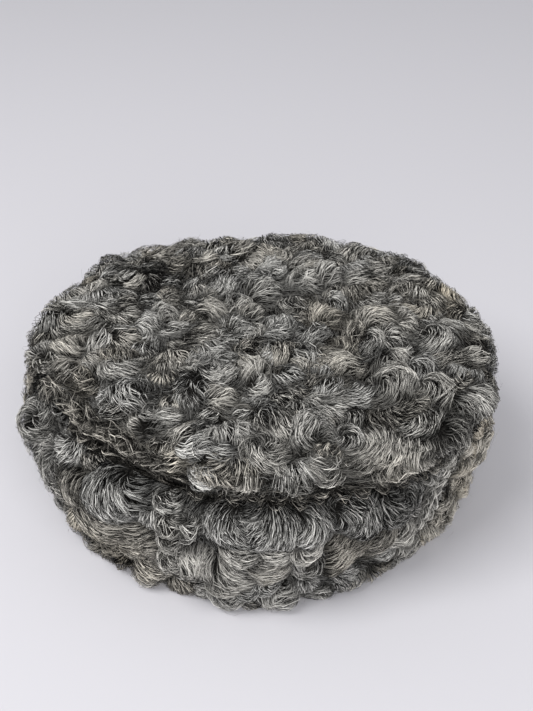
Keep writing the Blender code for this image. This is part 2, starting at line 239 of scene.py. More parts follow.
BAND_LOCKS = (
    # The left, its spiral and its fan
    Curl(-73, 0.86, 1.9, -135, 0.1, swirl=0.95, tone=-0.05, warmth=0.1),
    Curl(-60, 0.76, 1.8, -125, 0.45, swirl=0.25, warmth=0.1),
    Curl(-37, 0.83, 2.2, -105, 0.45, swirl=0.65, tone=-0.12),
    # The brown sweep under them
    Curl(-50, 0.7, 1.6, -155, 1.2, swirl=0.97, tone=-0.07, warmth=0.4),
    Curl(-42, 0.55, 2.4, -115, 1.1, swirl=0.97, tone=-0.07, warmth=0.4),
    Curl(-32, 0.45, 2.0, -85, 1.3, swirl=0.95, tone=-0.05, warmth=0.4),
    Curl(-29, 0.26, 1.5, -60, 0.7, swirl=0.6, warmth=0.4),
    # A stack of small curls
    Curl(-22, 0.92, 0.9, -80, 0.45, swirl=0.8, tone=-0.05, warmth=0.1),
    Curl(-21, 0.78, 0.9, -95, 0.5, swirl=0.75, tone=0.02, warmth=0.2),
    Curl(-21, 0.62, 0.9, -85, 0.5, swirl=0.8, tone=0.04, warmth=0.2),
    Curl(-21, 0.46, 0.9, -95, 0.5, swirl=0.75, tone=0.07, warmth=0.2),
    Curl(-16, 0.78, 0.9, -70, 0.4, swirl=0.9, tone=0.1, warmth=0.1),
    # The shell, its pale lip and the sweep below it
    Curl(-7, 0.83, 1.7, -110, 0.5, swirl=0.6, tone=-0.05),
    Curl(3, 0.84, 1.8, -80, 0.6, swirl=-0.45, tone=-0.1),
    Curl(12, 0.83, 1.5, -60, 0.5, swirl=-0.65, tone=-0.08),
    Curl(-5, 0.62, 1.1, -90, 2.5, swirl=0.97, tone=0.1, warmth=0.2),
    Curl(3, 0.64, 1.1, -90, 2.5, swirl=0.97, tone=0.2, warmth=0.2),
    Curl(-14, 0.42, 1.5, -165, 1.4, swirl=0.97, tone=0.1, warmth=0.2),
    Curl(-8, 0.36, 1.8, -115, 1.6, swirl=0.97, tone=0.14, warmth=0.2),
    Curl(1, 0.46, 1.7, -80, 1.8, swirl=0.97, tone=0.1, warmth=0.3),
    # The rim's curls
    Curl(-4, 0.26, 1.0, -90, 0.3, swirl=0.95, tone=-0.15),
    Curl(2, 0.28, 1.0, -90, 0.3, swirl=0.95, tone=-0.15),
    Curl(4, 0.14, 1.3, -100, 0.4, swirl=0.9, tone=0.15, warmth=0.1),
    Curl(-9, 0.14, 1.3, -80, 0.4, swirl=0.9, tone=0.05, warmth=0.1),
    # The right front
    Curl(10, 0.66, 1.2, -45, 0.15, swirl=0.95, tone=0.3, warmth=0.2),
    Curl(12, 0.48, 1.2, -120, 0.3, swirl=-0.9, warmth=0.1),
    Curl(22, 0.84, 2.0, -20, 0.4, swirl=-0.8, tone=-0.2),
    Curl(31, 0.82, 1.7, -90, 0.4, swirl=0.8, tone=-0.2),
    Curl(39, 0.78, 1.3, -60, 0.3, swirl=-0.9, tone=-0.15),
    Curl(20, 0.46, 1.8, -50, 1.6, swirl=0.97, warmth=0.5),
    Curl(29, 0.46, 1.6, -50, 1.6, swirl=0.97, warmth=0.4),
    Curl(37, 0.44, 1.2, -45, 0.3, swirl=0.9, tone=0.15, warmth=0.2),
    Curl(45, 0.88, 0.9, -30, 0.35, swirl=-0.9, tone=-0.05, warmth=0.1),
    Curl(42, 0.6, 0.8, -60, 0.5, swirl=0.6, warmth=0.1),
)

# Paler and darker places, whatever their locks. Sizes are shares of LOCK_PITCH too
Patch = namedtuple("Patch", "bearing level size tone warmth", defaults=(0.0,))
CROWN_PATCHES = (
    Patch(-121, 0.22, 2.0, tone=0.14, warmth=0.1),
    Patch(153, 0.38, 1.8, tone=0.2),
    Patch(98, 0.45, 1.5, tone=0.15, warmth=0.2),
    Patch(33, 0.86, 0.9, tone=0.15, warmth=0.2),
    Patch(40, 0.7, 0.7, tone=-0.15),
    Patch(-84, 0.7, 1.7, tone=0.1, warmth=0.2),
    Patch(-136, 0.62, 1.9, tone=-0.25),
    Patch(170, 0.8, 1.8, tone=-0.1, warmth=0.1),
    Patch(125, 0.68, 1.6, tone=-0.2),
    Patch(112, 0.75, 1.0, tone=0.15, warmth=0.5),
    Patch(50, 0.79, 0.7, tone=-0.3),
    Patch(74, 0.37, 0.7, tone=-0.25),
    Patch(8, 0.55, 1.2, tone=-0.12),
)
BAND_PATCHES = (
    Patch(-45, 0.92, 1.2, tone=-0.15),
    Patch(-44, 0.2, 1.6, tone=-0.05, warmth=0.5),
    Patch(30, 0.8, 1.6, tone=-0.1),
)

# Runs of hair combed one way, from a first place to a last
Run = namedtuple("Run", "bearing level last_bearing last_level locks size tone warmth")
CROWN_RUNS = (
    # The brown rope along the left front edge, and the cream streak below it
    Run(-68, 0.88, -26, 0.91, locks=12, size=0.66, tone=-0.02, warmth=0.45),
    Run(-61, 0.95, -42, 0.97, locks=5, size=0.4, tone=0.2, warmth=0.5),
    # A thin strand laid along the seam
    Run(-20, 0.965, 42, 0.96, locks=14, size=0.42, tone=-0.05, warmth=0.5),
)
BAND_RUNS = (
    # The pale hair swept down along the right joint
    Run(54, 0.88, 43, 0.2, locks=10, size=0.5, tone=1.0, warmth=0.15),
)

# A lock of any kind, on a layout in metres. Its rise is a height, its reach multiplies its hairs' length, and
# it is wider than deep by the square of its breadth
LOCK_COLUMNS = "east north size heading eye swirl tone warmth rise reach breadth"
Lock = namedtuple("Lock", LOCK_COLUMNS, defaults=(1.0, 1.0))


# Small helpers for node trees


class Nodes:
    """Adds nodes to a tree and joins them as they are made."""

    def __init__(self, tree):
        self.tree = tree

    def add(self, kind, inputs=(), **settings):
        node = self.tree.nodes.new(kind)
        for name, value in settings.items():
            setattr(node, name, value)
        for name, value in dict(inputs).items():
            self.feed(self.on(node.inputs, name), value)
        return node

    def feed(self, socket, value):
        if isinstance(value, bpy.types.NodeSocket):
            self.tree.links.new(value, socket)
        else:
            socket.default_value = value

    def on(self, sockets, name):
        """The socket of this number, or of this name and switched on by the node's settings."""
        if isinstance(name, int):
            return sockets[name]
        return next(socket for socket in sockets if socket.name == name and socket.enabled)

    def math(self, operation, *values):
        return self.add("ShaderNodeMath", enumerate(values), operation=operation).outputs[0]

    def plus(self, *values):
        return self.math("ADD", *values)

    def minus(self, *values):
        return self.math("SUBTRACT", *values)

    def times(self, *values):
        return self.math("MULTIPLY", *values)

    def over(self, *values):
        return self.math("DIVIDE", *values)

    def times_plus(self, *values):
        """The first value times the second, plus the third."""
        return self.math("MULTIPLY_ADD", *values)

    def vector(self, operation, *values, output=0):
        return self.add("ShaderNodeVectorMath", enumerate(values), operation=operation).outputs[output]

    def dot(self, *vectors):
        return self.vector("DOT_PRODUCT", *vectors, output=1)

    def scaled(self, vector, factor):
        return self.add("ShaderNodeVectorMath", {0: vector, "Scale": factor}, operation="SCALE").outputs[0]

    def position(self):
        return self.add("GeometryNodeInputPosition").outputs[0]

    def named(self, name, data_type="FLOAT"):
        node = self.add("GeometryNodeInputNamedAttribute", {"Name": name}, data_type=data_type)
        return node.outputs["Attribute"]

    def named_vector(self, name):
        return self.named(name, "FLOAT_VECTOR")

    def store(self, geometry, name, value, data_type, domain):
        inputs = {"Geometry": geometry, "Name": name, "Value": value}
        node = self.add("GeometryNodeStoreNamedAttribute", inputs, data_type=data_type, domain=domain)
        return node.outputs["Geometry"]

    def keep(self, geometry, **values):
        """The geometry with each value, a number or a vector, stored under its name on the points."""
        for name, value in values.items():
            data_type = "FLOAT_VECTOR" if value.type == "VECTOR" else "FLOAT"
            geometry = self.store(geometry, name, value, data_type, "POINT")
        return geometry

    def chance(self, low, high, seed, chance_id=None):
        inputs = {"Min": low, "Max": high, "Seed": seed}
        if chance_id is not None:
            inputs["ID"] = chance_id
        node = self.add("FunctionNodeRandomValue", inputs, data_type="FLOAT")
        return self.on(node.outputs, "Value")

    def draw(self, geometry, chances, chance_id=None):
        """The geometry with a value drawn for each chance."""
        for chance in chances:
            value = self.chance(chance.low, chance.high, chance.seed, chance_id)
            geometry = self.keep(geometry, **{chance.name: value})
        return geometry


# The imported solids, measured by rays


class Hat:
    """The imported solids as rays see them, from a middle point in the plane of the seam."""

    # A hit nearer the middle than this is on the hat's far side
    least_radius = 0.02

    def __init__(self, nodes):
        points, faces, self.node_of_face = [], [], []
        for name, node in sorted(nodes.items()):
            start = len(points)
            points += [vertex.co.copy() for vertex in node.data.vertices]
            faces += [[start + i for i in polygon.vertices] for polygon in node.data.polygons]
            self.node_of_face += [name] * len(node.data.polygons)
        self.tree = BVHTree.FromPolygons(points, faces)
        seam_height = (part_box("crown_pelt")[0].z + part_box("band_front")[1].z) / 2
        self.middle = Vector((0.0, 0.0, seam_height))

    def direction(self, bearing, dip):
        """The unit vector at a bearing, dip degrees down from straight up."""
        east, south = flat_place(bearing, math.sin(math.radians(dip)))
        return Vector((east, south, math.cos(math.radians(dip))))

    def outside(self, bearing, dip):
        """Where the hat's outer face is in a direction, and on which node."""
        direction = self.direction(bearing, dip)
        place, _, face, _ = self.tree.ray_cast(self.middle + direction, -direction)
        if place is None or (place - self.middle).dot(direction) < self.least_radius:
            return None, None
        return place, self.node_of_face[face]

    def inside(self, bearing, dip):
        return self.tree.ray_cast(self.middle, self.direction(bearing, dip))[0]


def even_rows(points, rows):
    """Points spaced evenly along a line of points, and the line's length."""
    points = np.array([tuple(point) for point in points])
    distance = np.concatenate([[0.0], np.cumsum(np.linalg.norm(np.diff(points, axis=0), axis=1))])
    wanted = np.linspace(0.0, distance[-1], rows)
    return np.column_stack([np.interp(wanted, distance, column) for column in points.T]), distance[-1]


def survey(hat, chart):
    """Grids of points over the outer face and the hide, a column's mean length, and each column's node."""
    outer, hide, lengths, names = [], [], [], []
    for column in range(chart.columns):
        hits, hollow = [], []
        for dip in np.linspace(chart.first_dip, chart.last_dip, 2 * chart.rows):
            bearing = chart.bearing_at_dip(column, dip)
            place, name = hat.outside(bearing, dip)
            if place is not None and place.z > FLOOR_CLEARANCE:
                hits.append((place, name))
            back = hat.inside(bearing, dip)
            if back is not None and back.z > FLOOR_CLEARANCE:
                hollow.append(back)
        line, length = even_rows([place for place, _ in hits], chart.rows)
        outer.append(line)
        lengths.append(length)
        hide.append(even_rows(hollow, chart.hide_rows)[0])
        names.append(hits[len(hits) // 2][1])
    outer, hide = (np.array(lines).transpose(1, 0, 2) for lines in (outer, hide))
    return outer, hide, float(np.mean(lengths)), names


def smooth_grid(values, passes):
    """The closed grid's values smoothed, in its first and last rows only along them."""
    for _ in range(passes):
        values = values / 2 + (np.roll(values, 1, axis=1) + np.roll(values, -1, axis=1)) / 4
        values[1:-1] = values[1:-1] / 2 + (values[:-2] + values[2:]) / 4
    return values


def unit(vectors):
    return vectors / np.maximum(np.linalg.norm(vectors, axis=-1, keepdims=True), 1e-9)


def cell_middles(points):
    """The middles of a closed grid's cells."""
    return (points[:-1] + points[1:] + np.roll(points[:-1], -1, axis=1) + np.roll(points[1:], -1, axis=1)) / 4


# The pelts laid flat


def flat_place(bearing, distance):
    angle = np.radians(bearing)
    return distance * np.sin(angle), -distance * np.cos(angle)


class CrownChart:
    """The crown laid flat: its top view, with the rolled edge opened out."""

    # The survey's grid and the dips that it spans, and the depth and darkness of the shade in the crease
    rows, columns = 64, 300
    hide_rows = 22
    first_dip, last_dip = 0.3, 89.6
    crease_depth, crease_shade = 0.006, 0.45

    def bearing_at_dip(self, column, dip):
        return 360.0 * column / self.columns

    def measure(self, length, outer):
        self.length = length

    def places(self, row, column):
        bearing = 360.0 * column / self.columns
        return np.stack(flat_place(bearing, self.length * row / (self.rows - 1)), axis=-1)

    def ways(self, row, column):
        """Down the pelt and along it, as headings on the layout."""
        angle = np.radians(360.0 * column / self.columns)
        sine, cosine = np.sin(angle), np.cos(angle)
        return np.stack([sine, -cosine], axis=-1), np.stack([cosine, sine], axis=-1)

    def from_seam(self, row):
        return self.length * (1.0 - row / (self.rows - 1))

    def place_of(self, row):
        return flat_place(row.bearing, row.level * self.length)

    def free_places(self, chance):
        """A sunflower's pattern, each place a little out of line."""
        count = int(math.pi * (self.length / FREE_PITCH) ** 2)
        golden_angle = 180.0 * (3.0 - math.sqrt(5.0))
        for number in range(count):
            distance = self.length * math.sqrt((number + 0.5) / count)
            east, north = flat_place(number * golden_angle, distance)
            jog = chance.uniform(-FREE_JOG, FREE_JOG, 2) * FREE_PITCH
            yield east + jog[0], north + jog[1]

    def all_round(self, locks):
        return locks


class BandChart:
    """The band unrolled from the front both ways. Its columns lean near the right joint, as that does."""

    rows, columns = 41, 340
    hide_rows = 11
    first_dip, last_dip = 90.4, 128.0
    crease_depth, crease_shade = 0.0025, 0.3
    right_joint, joint_lean = 52.0, 14.0
    # Rough sizes are enough to aim the columns
    rough_radius, rough_height = 0.11, 0.064

    def bearing(self, column, share):
        plain = 360.0 * column / self.columns
        from_joint = np.abs((plain - self.right_joint + 180.0) % 360.0 - 180.0)
        lean = self.joint_lean * np.cos(np.radians(np.minimum(1.5 * from_joint, 90.0))) ** 2
        return plain + lean * (share - 0.5)

    def bearing_at_dip(self, column, dip):
        share = 1.0 - self.rough_radius * math.tan(math.radians(dip - 90.0)) / self.rough_height
        return float(self.bearing(column, share))

    def measure(self, length, outer):
        self.length = length
        self.round = 2.0 * math.pi * np.linalg.norm(outer[..., :2], axis=2).mean()

    def places(self, row, column):
        share = 1.0 - row / (self.rows - 1)
        wrapped = (self.bearing(column, share) + 180.0) % 360.0 - 180.0
        return np.stack([wrapped / 360.0 * self.round, share * self.length], axis=-1)

    def ways(self, row, column):
        shape = (*row.shape, 2)
        return np.broadcast_to([0.0, -1.0], shape), np.broadcast_to([1.0, 0.0], shape)

    def from_seam(self, row):
        return self.length * row / (self.rows - 1)

    def place_of(self, row):
        return row.bearing / 360.0 * self.round, row.level * self.length

    def free_places(self, chance):
        """Staggered rows of places, each a little out of line."""
        rows = round(self.length / FREE_PITCH)
        columns = round(self.round / FREE_PITCH)
        for row in range(rows):
            for column in range(columns):
                east = ((column + 0.5 * (row % 2)) / columns - 0.5) * self.round
                jog = chance.uniform(-FREE_JOG, FREE_JOG, 2) * FREE_PITCH
                yield east + jog[0], (row + 0.5) / rows * self.length + jog[1]

    def all_round(self, locks):
        """The locks, and their copies one turn before and after."""
        copies = [lock._replace(east=lock.east + turn * self.round) for lock in locks for turn in (-1, 1)]
        return locks + copies


# Locks and combing


def compass(degrees):
    angle = np.radians(degrees)
    return np.stack([np.cos(angle), np.sin(angle)], axis=-1)


def middles_of(locks):
    return np.stack([locks.east, locks.north], axis=-1)


def run_locks(chart, run):
    """The locks of a run: their eyes are so far off that the hair goes straight on to the next."""
    shares = np.linspace(0.0, 1.0, run.locks)
    bearings = run.bearing + (run.last_bearing - run.bearing) * shares
    levels = run.level + (run.last_level - run.level) * shares
    places = [chart.place_of(run._replace(bearing=b, level=l)) for b, l in zip(bearings, levels)]
    ways = np.gradient(np.array(places), axis=0)
    return [
        Lock(
            *place,
            run.size * LOCK_PITCH,
            heading=math.degrees(math.atan2(way[1], way[0])) - 90.0,
            eye=9.0,
            swirl=0.97,
            tone=run.tone,
            warmth=run.warmth,
            rise=RUN_RISE,
            reach=1.5,
            breadth=1.4,
        )
        for place, way in zip(places, ways)
    ]


def drift(east, north):
    """The slow turning of the free locks' headings over a layout, in degrees."""
    return 50.0 * math.sin(east / 0.045 + 1.3) + 45.0 * math.cos(north / 0.035 + east / 0.08)


def lay_locks(chart, rows, runs, seed):
    """The given locks and runs, and free ones of varied character in the places left between."""
    chance = np.random.default_rng(seed)
    chosen = []
    for row in rows:
        size = row.size * LOCK_PITCH
        rise = min(LOBE_RISE * size, MOST_LOBE_RISE)
        chosen.append(Lock(*chart.place_of(row), size, *row[3:], rise))
    for run in runs:
        chosen += run_locks(chart, run)
    locks = list(chosen)
    for east, north in chart.free_places(chance):
        size = chance.uniform(*FREE_SIZES) * FREE_PITCH
        lock = Lock(
            east,
            north,
            size,
            heading=FREE_HEADING + drift(east, north) + chance.uniform(*FREE_TURNS),
            eye=chance.choice(FREE_EYES),
            swirl=chance.choice((-1.0, 1.0)) * chance.choice(FREE_SWIRLS),
            tone=float(np.clip(chance.normal(0.0, FREE_TONE_SPREAD), *FREE_TONES)),
            warmth=max(0.0, chance.normal(*FREE_WARMTHS)),
            rise=FREE_RISE * size,
            breadth=chance.uniform(*FREE_BREADTHS),
        )
        if all(math.hypot(l.east - east, l.north - north) > LOCK_ROOM * (l.size + size) for l in chosen):
            locks.append(lock)
    return chart.all_round(locks)


def nearest_locks(places, locks):
    """The lock that holds each place, and how far from its middle the place is, as a share of its size."""
    own, share = [], []
    flat = places.reshape(-1, 2)
    for start in range(0, len(flat), PLACES_AT_A_TIME):
        away = flat[start : start + PLACES_AT_A_TIME, None, :] - middles_of(locks)
        to_lip = (away * compass(locks.heading)).sum(axis=2) * locks.breadth
        across = (away * compass(locks.heading + 90.0)).sum(axis=2) / locks.breadth
        distance = np.hypot(to_lip, across) / locks.size
        own.append(distance.argmin(axis=1))
        share.append(distance.min(axis=1))
    shape = places.shape[:-1]
    own = np.concatenate(own).reshape(shape)
    return Lock(*(values[own] for values in locks)), np.concatenate(share).reshape(shape)


def lobe(share, tilt):
    """A lock's rounded form: 1 at its middle, 0 at its border, and higher towards its lip."""
    return np.sqrt(np.clip(1.0 - (share / LOBE_REACH) ** 2, 0.0, 1.0)) * (1.0 + LOBE_TILT * tilt)


class Pelt:
    """A pelt: its skin under the hair, its hide, and what the hair on each cell of it does."""

    def __init__(self, hat, chart, rows, runs, patches, seed):
        outer, self.hide, length, self.names = survey(hat, chart)
        chart.measure(length, outer)
        self.chart = chart
        locks = Lock(*np.array(lay_locks(chart, rows, runs, seed)).T)

        even = smooth_grid(outer, passes=4)
        down = unit(np.gradient(even, axis=0))
        along = unit(np.roll(even, -1, axis=1) - np.roll(even, 1, axis=1))
        out = unit(np.cross(down, along))
        row, column = np.indices(outer.shape[:2])
        places = chart.places(row, column)
        lock, share = nearest_locks(places, locks)
        from_middle = places - middles_of(lock)
        lip = (from_middle * compass(lock.heading)).sum(axis=2) / lock.size
        relief = smooth_grid(SKIN_LOBE_RISE * (lobe(share, lip) - SKIN_LOBE_LEVEL), passes=1)
        open_pile = np.clip(chart.from_seam(row) / SEAM_FADE, SEAM_PILE, 1.0)
        self.skin = outer + out * (open_pile * (relief - PILE_DEPTH))[..., None]
        self.skin[..., 2] = np.maximum(self.skin[..., 2], FLOOR_CLEARANCE)
        self.hide = smooth_grid(self.hide, passes=6)
        self.comb(locks, patches, cell_middles(down), cell_middles(along))

    def comb(self, locks, patches, down, along):
        """Fills self.values with the lock that each cell's hair belongs to, and its colour."""
        row, column = np.indices(down.shape[:2]) + 0.5
        places = self.chart.places(row, column)
        lock, _ = nearest_locks(places, locks)
        flat_down, flat_along = self.chart.ways(row, column)

        def lifted(flat):
            """A vector of the layout, as it lies on the hat."""
            on_down = (flat * flat_down).sum(axis=2, keepdims=True)
            on_along = (flat * flat_along).sum(axis=2, keepdims=True)
            return on_down * unit(down) + on_along * unit(along)

        middles = cell_middles(self.skin)
        from_seam = self.chart.from_seam(row)
        heading = compass(lock.heading)
        from_middle = places - middles_of(lock)
        from_eye = from_middle + heading * (lock.eye * lock.size)[..., None]
        self.values = {
            "lock_middle": middles - lifted(from_middle),
            "lock_eye": middles - lifted(from_eye),
            "lock_lip": unit(lifted(heading)),
            "lock_side": unit(lifted(compass(lock.heading + 90.0))),
            "lock_size": lock.size,
            "swirl": lock.swirl,
            "tone": lock.tone,
            "warmth": lock.warmth,
            "rise": lock.rise,
            "breadth": lock.breadth,
            "reach": lock.reach * np.clip(SEAM_TRIM + from_seam / TRIM_FADE, SEAM_TRIM, 1.0),
        }
        for patch in patches:
            away = np.linalg.norm(places - np.array(self.chart.place_of(patch)), axis=2)
            share = np.exp(-((away / (patch.size * LOCK_PITCH)) ** 2))
            self.values["tone"] += patch.tone * share
            self.values["warmth"] += patch.warmth * share
        # Painted shade in the crease: the hair's tone is darkened near the seam
        crease = np.exp(-((from_seam / self.chart.crease_depth) ** 2))
        self.values["tone"] -= self.chart.crease_shade * crease
        at_back = np.array([name == "band_back" for name in self.names])
        self.values["tone"] += BACK_TONE * at_back
        self.values["warmth"] += BACK_WARMTH * at_back

    def columns_of(self, node):
        """The columns on a node, in order from its first joint round to its other."""
        columns = [i for i, name in enumerate(self.names) if name == node]
        gaps = [i for i, column in enumerate(columns) if column - columns[i - 1] > 1]
        return columns[gaps[-1] :] + columns[: gaps[-1]] if gaps else columns

    def surface(self, name, chosen):
        """The skin in the chosen columns, as a mesh that carries each cell's values."""
        rows, columns = self.skin.shape[:2]
        faces = grid_faces(rows, columns, chosen, pole=isinstance(self.chart, CrownChart))
        obj = new_mesh(name, self.skin.reshape(-1, 3), faces)
        for key, values in self.values.items():
            set_face_values(obj, key, values[:, chosen])
        return obj

    def shell(self, name, chosen, materials):
        """The skin and the hide in the chosen columns, as one closed body."""
        rows, columns = self.skin.shape[:2]
        hide_rows = len(self.hide)
        whole = isinstance(self.chart, CrownChart)
        points = np.concatenate([self.skin.reshape(-1, 3), self.hide.reshape(-1, 3)])
        first_hide = rows * columns
        faces = grid_faces(rows, columns, chosen, whole)
        foot, hide_foot = (rows - 1) * columns, first_hide + (hide_rows - 1) * columns
        pairs = [(i, (i + 1) % columns) for i in chosen]
        last_edge = [[foot + i, hide_foot + i, hide_foot + j, foot + j] for i, j in pairs]
        if whole:
            faces += last_edge
        else:
            faces += [[i, j, first_hide + j, first_hide + i] for i, j in pairs]
        furred = len(faces)
        for face in grid_faces(hide_rows, columns, chosen, whole):
            faces.append([first_hide + i for i in reversed(face)])
        if not whole:
            faces += last_edge
            step = (rows - 1) // (hide_rows - 1)
            for column, turned in ((chosen[0], True), ((chosen[-1] + 1) % columns, False)):
                for row in range(hide_rows - 1):
                    end = [(row * step + i) * columns + column for i in range(step + 1)]
                    end += [first_hide + (row + 1 - i) * columns + column for i in range(2)]
                    faces.append(end[::-1] if turned else end)
        obj = new_mesh(name, points, faces)
        for material in materials:
            obj.data.materials.append(material)
        indices = [0] * furred + [1] * (len(faces) - furred)
        obj.data.polygons.foreach_set("material_index", indices)
        obj.data.polygons.foreach_set("use_smooth", [True] * len(faces))
        return obj


def grid_faces(rows, columns, chosen, pole):
    """Quads of a closed grid in the chosen columns, with its first row as one point at a pole."""
    faces = []
    for row in range(rows - 1):
        for column in chosen:
            after = (column + 1) % columns
            corners = [row * columns + column, (row + 1) * columns + column]
            corners += [(row + 1) * columns + after, row * columns + after]
            if pole and row == 0:
                corners = [0, corners[1], corners[2]]
            faces.append(corners)
    return faces


def new_mesh(name, points, faces):
    """An object of these faces, with the points that none of them uses left out."""
    used = np.unique(np.concatenate([np.array(face) for face in faces]))
    index = np.zeros(len(points), int)
    index[used] = np.arange(len(used))
    mesh = bpy.data.meshes.new(name)
    mesh.from_pydata([tuple(points[i]) for i in used], [], [tuple(index[list(face)]) for face in faces])
    return add_object(name, mesh)


def add_object(name, data):
    obj = bpy.data.objects.new(name, data)
    bpy.context.scene.collection.objects.link(obj)
    return obj


def set_face_values(obj, name, values):
    kind, key = ("FLOAT_VECTOR", "vector") if values.ndim == 3 else ("FLOAT", "value")
    attribute = obj.data.attributes.new(name, kind, "FACE")
    attribute.data.foreach_set(key, values.astype(np.float32).ravel())


# The fur's node tree


def fur_tree(name, material):
    """Grows curled flat hairs, gathered into wisps, over a combed skin."""
    tree = bpy.data.node_groups.new(name, "GeometryNodeTree")
    face = tree.interface
    face.new_socket("Skin", in_out="INPUT", socket_type="NodeSocketGeometry")
    for label in ("Hairs Per Area", "Hair Width", "Wisp Spacing", "Map Columns"):
        face.new_socket(label, in_out="INPUT", socket_type="NodeSocketFloat")
    face.new_socket("Seed", in_out="INPUT", socket_type="NodeSocketInt")
    face.new_socket("Fur", in_out="OUTPUT", socket_type="NodeSocketGeometry")
    n = Nodes(tree)
    given = n.add("NodeGroupInput").outputs
    hairs = flat_strips(n, add_wisps(n, given, set_roots(n, given)))
    along = n.named("along")

    path, heading = hair_path(n, along)
    ground, normal = skin_below(n, given["Skin"], path)
    loft = lock_loft(n, path)
    climb = hair_climb(n, along)
    centre = n.vector("ADD", ground, n.scaled(normal, hair_lift(n, along, loft, climb)))
    place = n.vector("ADD", centre, from_centre(n, along, normal, heading, given["Hair Width"]))
    parts = n.add("ShaderNodeSeparateXYZ", {"Vector": place}).outputs
    above = n.math("MAXIMUM", parts["Z"], FLOOR_CLEARANCE)
    place = n.add("ShaderNodeCombineXYZ", {"X": parts["X"], "Y": parts["Y"], "Z": above}).outputs[0]

    # The loft is kept for the painted shade on hairs low between the locks
    hairs = n.keep(hairs, loft=n.times(loft, climb))
    hairs = n.add("GeometryNodeSetPosition", {"Geometry": hairs, "Position": place}).outputs[0]
    hairs = n.store(hairs, "OFBake", map_place(n, along, given["Map Columns"]), "FLOAT2", "CORNER")
    hairs = n.add("GeometryNodeSetShadeSmooth", {"Geometry": hairs, "Shade Smooth": True}).outputs[0]
    hairs = n.add("GeometryNodeSetMaterial", {"Geometry": hairs, "Material": material}).outputs[0]
    n.add("NodeGroupOutput", {"Fur": hairs})
    return tree


def set_roots(n, given):
    """Scatters roots over the skin, each with its length, its bend and the way that it sets off."""
    scatter = n.add(
        "GeometryNodeDistributePointsOnFaces",
        {"Mesh": given["Skin"], "Density": given["Hairs Per Area"], "Seed": given["Seed"]},
    ).outputs
    roots = n.keep(scatter["Points"], outward=scatter["Normal"])
    roots = n.draw(roots, HAIR_CHANCES)

    # Hair circles its lock's eye as far as the lock swirls, and else runs away from it
    outward = n.named_vector("outward")
    size = n.named("lock_size")
    from_eye = n.vector("SUBTRACT", n.position(), n.named_vector("lock_eye"))
    height = n.dot(from_eye, outward)
    from_eye = n.vector("SUBTRACT", from_eye, n.scaled(outward, height))
    radius = n.vector("LENGTH", from_eye, output=1)
    radial = n.vector("NORMALIZE", from_eye)
    circling = n.vector("CROSS_PRODUCT", outward, radial)
    turning = n.times_plus(size, EYE_SHARE, radius)
    swirl = n.times(n.named("swirl"), n.over(radius, turning))
    away = n.minus(1.0, n.math("ABSOLUTE", swirl))
    flow = n.vector("NORMALIZE", n.vector("ADD", n.scaled(radial, away), n.scaled(circling, swirl)))

    # It is shorter near the eye and at the seam, and a stray hair is twice as long
    length = n.times(size, n.times_plus(n.named("hair_chance"), HAIR_SHARE_SPREAD, HAIR_SHARE))
    length = n.math("MINIMUM", n.math("MAXIMUM", length, LEAST_HAIR), MOST_HAIR)
    length = n.times(length, n.named("reach"))
    length = n.math("MINIMUM", length, n.math("MAXIMUM", n.times(turning, MOST_TURN), LEAST_EYE_HAIR))
    stray = n.math("LESS_THAN", n.chance(0.0, 1.0, STRAY_SEED), STRAY_SHARE)
    length = n.times(length, n.plus(stray, 1.0))
    bend = n.over(n.dot(flow, circling), turning)
    most = n.over(MOST_BEND, length)
    bend = n.math("MAXIMUM", n.math("MINIMUM", bend, most), n.times(most, -1.0))
    strand = n.add("GeometryNodeInputIndex").outputs[0]
    return n.keep(
        roots, flow=flow, root=n.position(), hair_length=length, bend=bend, stray=stray, strand=strand
    )


def add_wisps(n, given, roots):
    """Gives each root the wisp that its hair leans to."""
    guides = n.add(
        "GeometryNodeDistributePointsOnFaces",
        {
            "Mesh": given["Skin"],
            "Distance Min": given["Wisp Spacing"],
            "Density Max": MOST_WISPS_PER_AREA,
            "Seed": n.plus(given["Seed"], WISP_SEED_STEP),
        },
        distribute_method="POISSON",
    ).outputs["Points"]
    wisp = n.add("GeometryNodeSampleNearest", {"Geometry": guides}).outputs["Index"]
    sample = {"Geometry": guides, "Index": wisp, "Value": n.position()}
    guide = n.add("GeometryNodeSampleIndex", sample, data_type="FLOAT_VECTOR")
    to_guide = n.vector("SUBTRACT", n.on(guide.outputs, "Value"), n.position())
    return n.draw(n.keep(roots, to_guide=to_guide), WISP_CHANCES, wisp)


def flat_strips(n, roots):
    """A flat strip at each root. Its sides are -1 and 1, and it goes along from 0 to 1."""
    strip = n.add(
        "GeometryNodeMeshGrid",
        {"Size X": 2.0, "Size Y": 1.0, "Vertices X": 2, "Vertices Y": HAIR_STEPS},
    ).outputs["Mesh"]
    corner = n.add("ShaderNodeSeparateXYZ", {"Vector": n.position()}).outputs
    strip = n.keep(strip, side=corner["X"], along=n.plus(corner["Y"], 0.5))
    hairs = n.add("GeometryNodeInstanceOnPoints", {"Points": roots, "Instance": strip}).outputs[0]
    return n.add("GeometryNodeRealizeInstances", {"Geometry": hairs}).outputs[0]


